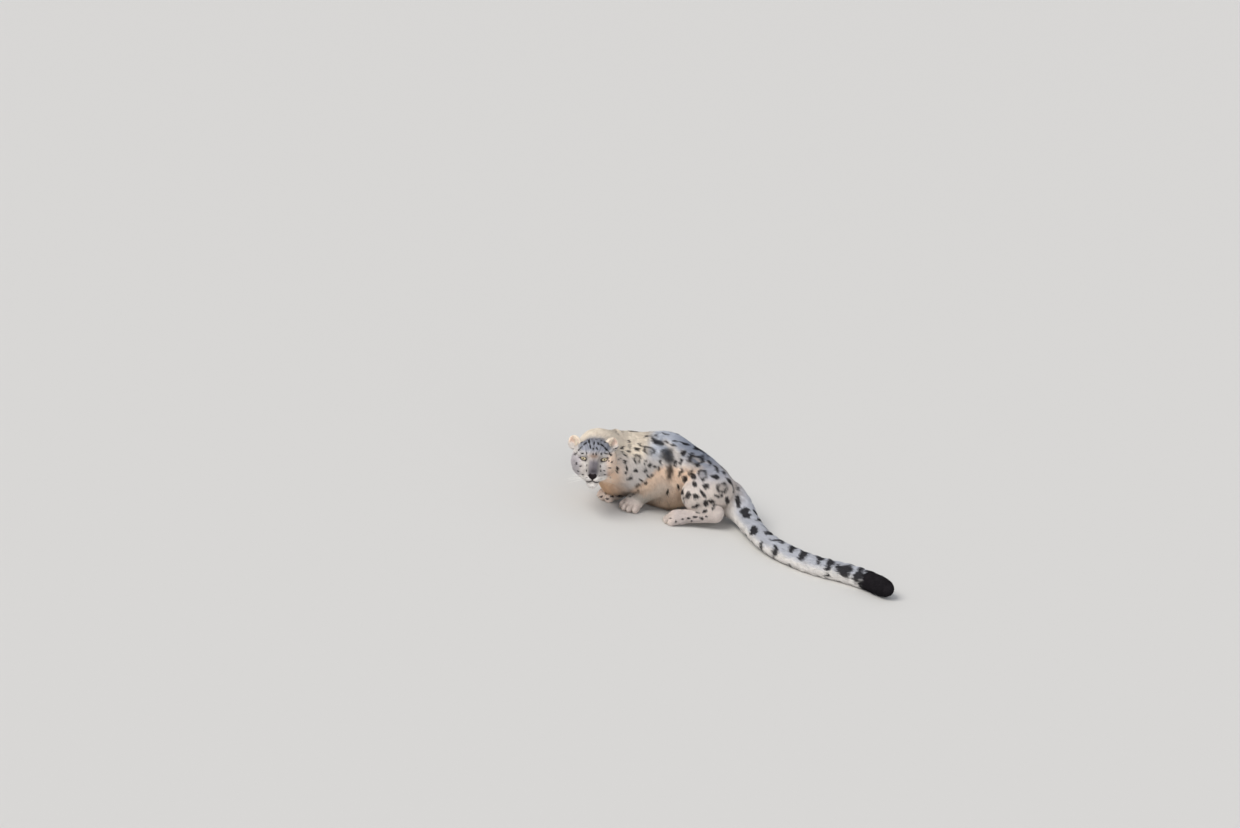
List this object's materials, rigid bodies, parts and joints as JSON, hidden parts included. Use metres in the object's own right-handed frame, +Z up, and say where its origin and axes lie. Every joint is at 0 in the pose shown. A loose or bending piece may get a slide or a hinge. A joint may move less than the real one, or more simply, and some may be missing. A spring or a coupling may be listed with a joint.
{
  "type": "snow leopard, life-size still model",
  "caption": "Life-size still model of a snow leopard in a low crouch, head turned to its left, long thick tail laid out behind.",
  "frame": {"origin": "middle of the floor under the animal's box", "axes": "+X from the head end towards the tail's end, -Y the side that the face and the left flank look to, +Z up"},
  "size_m": [1.4412, 0.8372, 0.3355],
  "materials": {
    "coat": "thick soft fur, smoky grey to cream with dark rosettes, white below",
    "skin": "dark bare nose leather and lids",
    "eye": "wet pale grey-green iris with a round black pupil",
    "claw": "smooth pale horn"
  },
  "bodies": {
    "root": {"belly": "coat", "chest": "coat", "ear_left": "coat", "ear_right": "coat", "eye_left": "eye", "eye_right": "eye", "forearm_left": "coat", "forearm_right": "coat", "forepaw_left": "coat", "forepaw_right": "coat", "head": "coat", "hind_foot_left": "coat", "hind_foot_right": "coat", "hind_shank_left": "coat", "hind_shank_right": "coat", "hips": "coat", "neck": "coat", "tail_1": "coat", "tail_2": "coat", "tail_3": "coat", "tail_4": "coat", "tail_5": "coat", "thigh_left": "coat", "thigh_right": "coat", "upper_arm_left": "coat", "upper_arm_right": "coat"}
  },
  "joints": []
}
